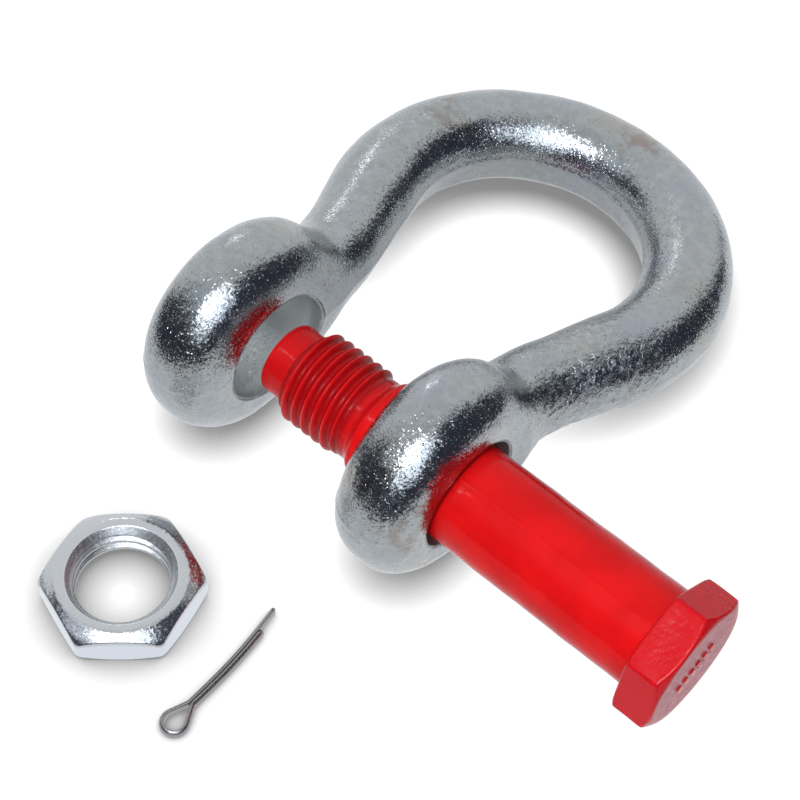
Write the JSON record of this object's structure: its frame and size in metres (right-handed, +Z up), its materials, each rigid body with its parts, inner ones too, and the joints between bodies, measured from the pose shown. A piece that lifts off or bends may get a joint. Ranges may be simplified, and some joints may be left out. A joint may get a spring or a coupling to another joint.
{
  "type": "bow shackle",
  "caption": "Forged bow shackle with round ears, a hex-head bolt drawn part way out of its bores, and a thin nut and cotter pin lying beside it.",
  "frame": {"origin": "middle of the jaw, on the common axis of the two ear bores", "axes": "+X along the bore axis towards the bolt's head, +Y towards the crown of the bow, +Z up from the surface the shackle lies on"},
  "size_m": [0.1318, 0.1706, 0.045],
  "materials": {
    "zinc_coated_steel": "satin",
    "red_enamel": "gloss",
    "bright_zinc_plate": "satin",
    "plated_wire": "satin"
  },
  "bodies": {
    "bow": {"bow": "zinc_coated_steel"},
    "bolt": {"bolt": "red_enamel"},
    "nut": {"nut": "bright_zinc_plate"},
    "cotter_pin": {"cotter_pin": "plated_wire"}
  },
  "joints": [
    {"name": "bolt_slide", "type": "slide", "parent": "bow", "child": "bolt", "axis": [-1, 0, 0], "range_m": [-0.05, 0.0449]},
    {"name": "nut_lift", "type": "slide", "parent": "bow", "child": "nut", "axis": [0, 0, 1], "range_m": [0, 0.06]},
    {"name": "cotter_lift", "type": "slide", "parent": "bow", "child": "cotter_pin", "axis": [0, 0, 1], "range_m": [0, 0.06]}
  ]
}
